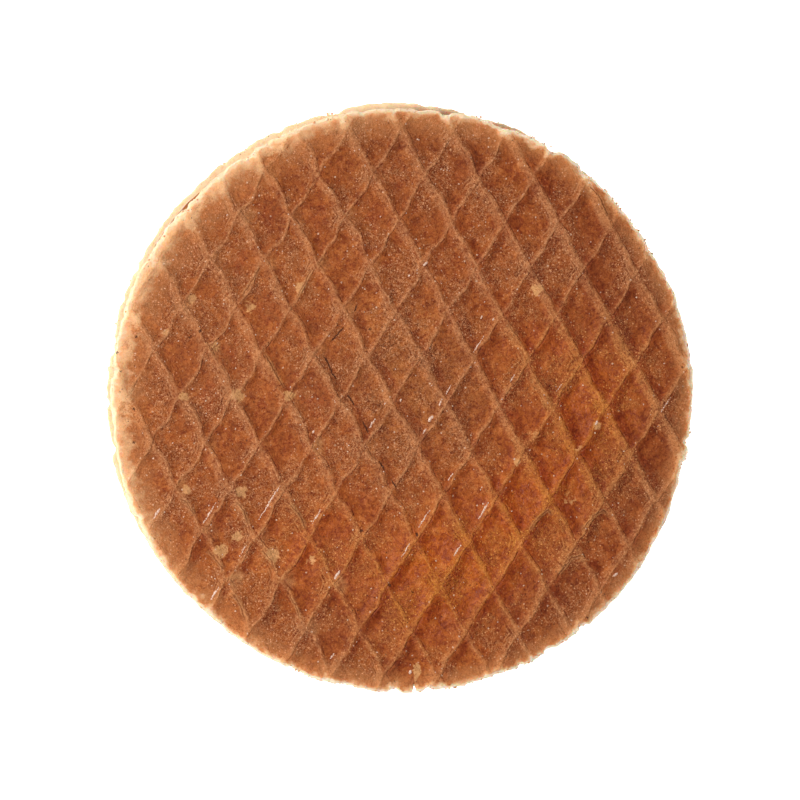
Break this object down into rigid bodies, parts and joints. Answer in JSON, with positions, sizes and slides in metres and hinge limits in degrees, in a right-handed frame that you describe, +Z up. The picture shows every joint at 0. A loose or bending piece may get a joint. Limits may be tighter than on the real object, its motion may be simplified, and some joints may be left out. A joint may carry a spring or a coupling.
{
  "type": "stroopwafel",
  "caption": "Round flat biscuit of two thin wafers with a syrup layer between them, pressed all over with a raised diamond ridge pattern.",
  "frame": {"origin": "under the middle of the wafel, on the surface it lies on, which its lower ridges touch", "axes": "+Z up, square to the flat wafel and out of the ridged face shown; +Y along the long way of the diamonds, which lean about 2 degrees from it; +X to the right"},
  "size_m": [0.08, 0.0806, 0.007],
  "materials": {
    "top_dough": "satin",
    "bottom_dough": "matte",
    "syrup": "gloss"
  },
  "bodies": {
    "root": {"bottom_wafer": "bottom_dough", "syrup": "syrup", "top_wafer": "top_dough"}
  },
  "joints": []
}
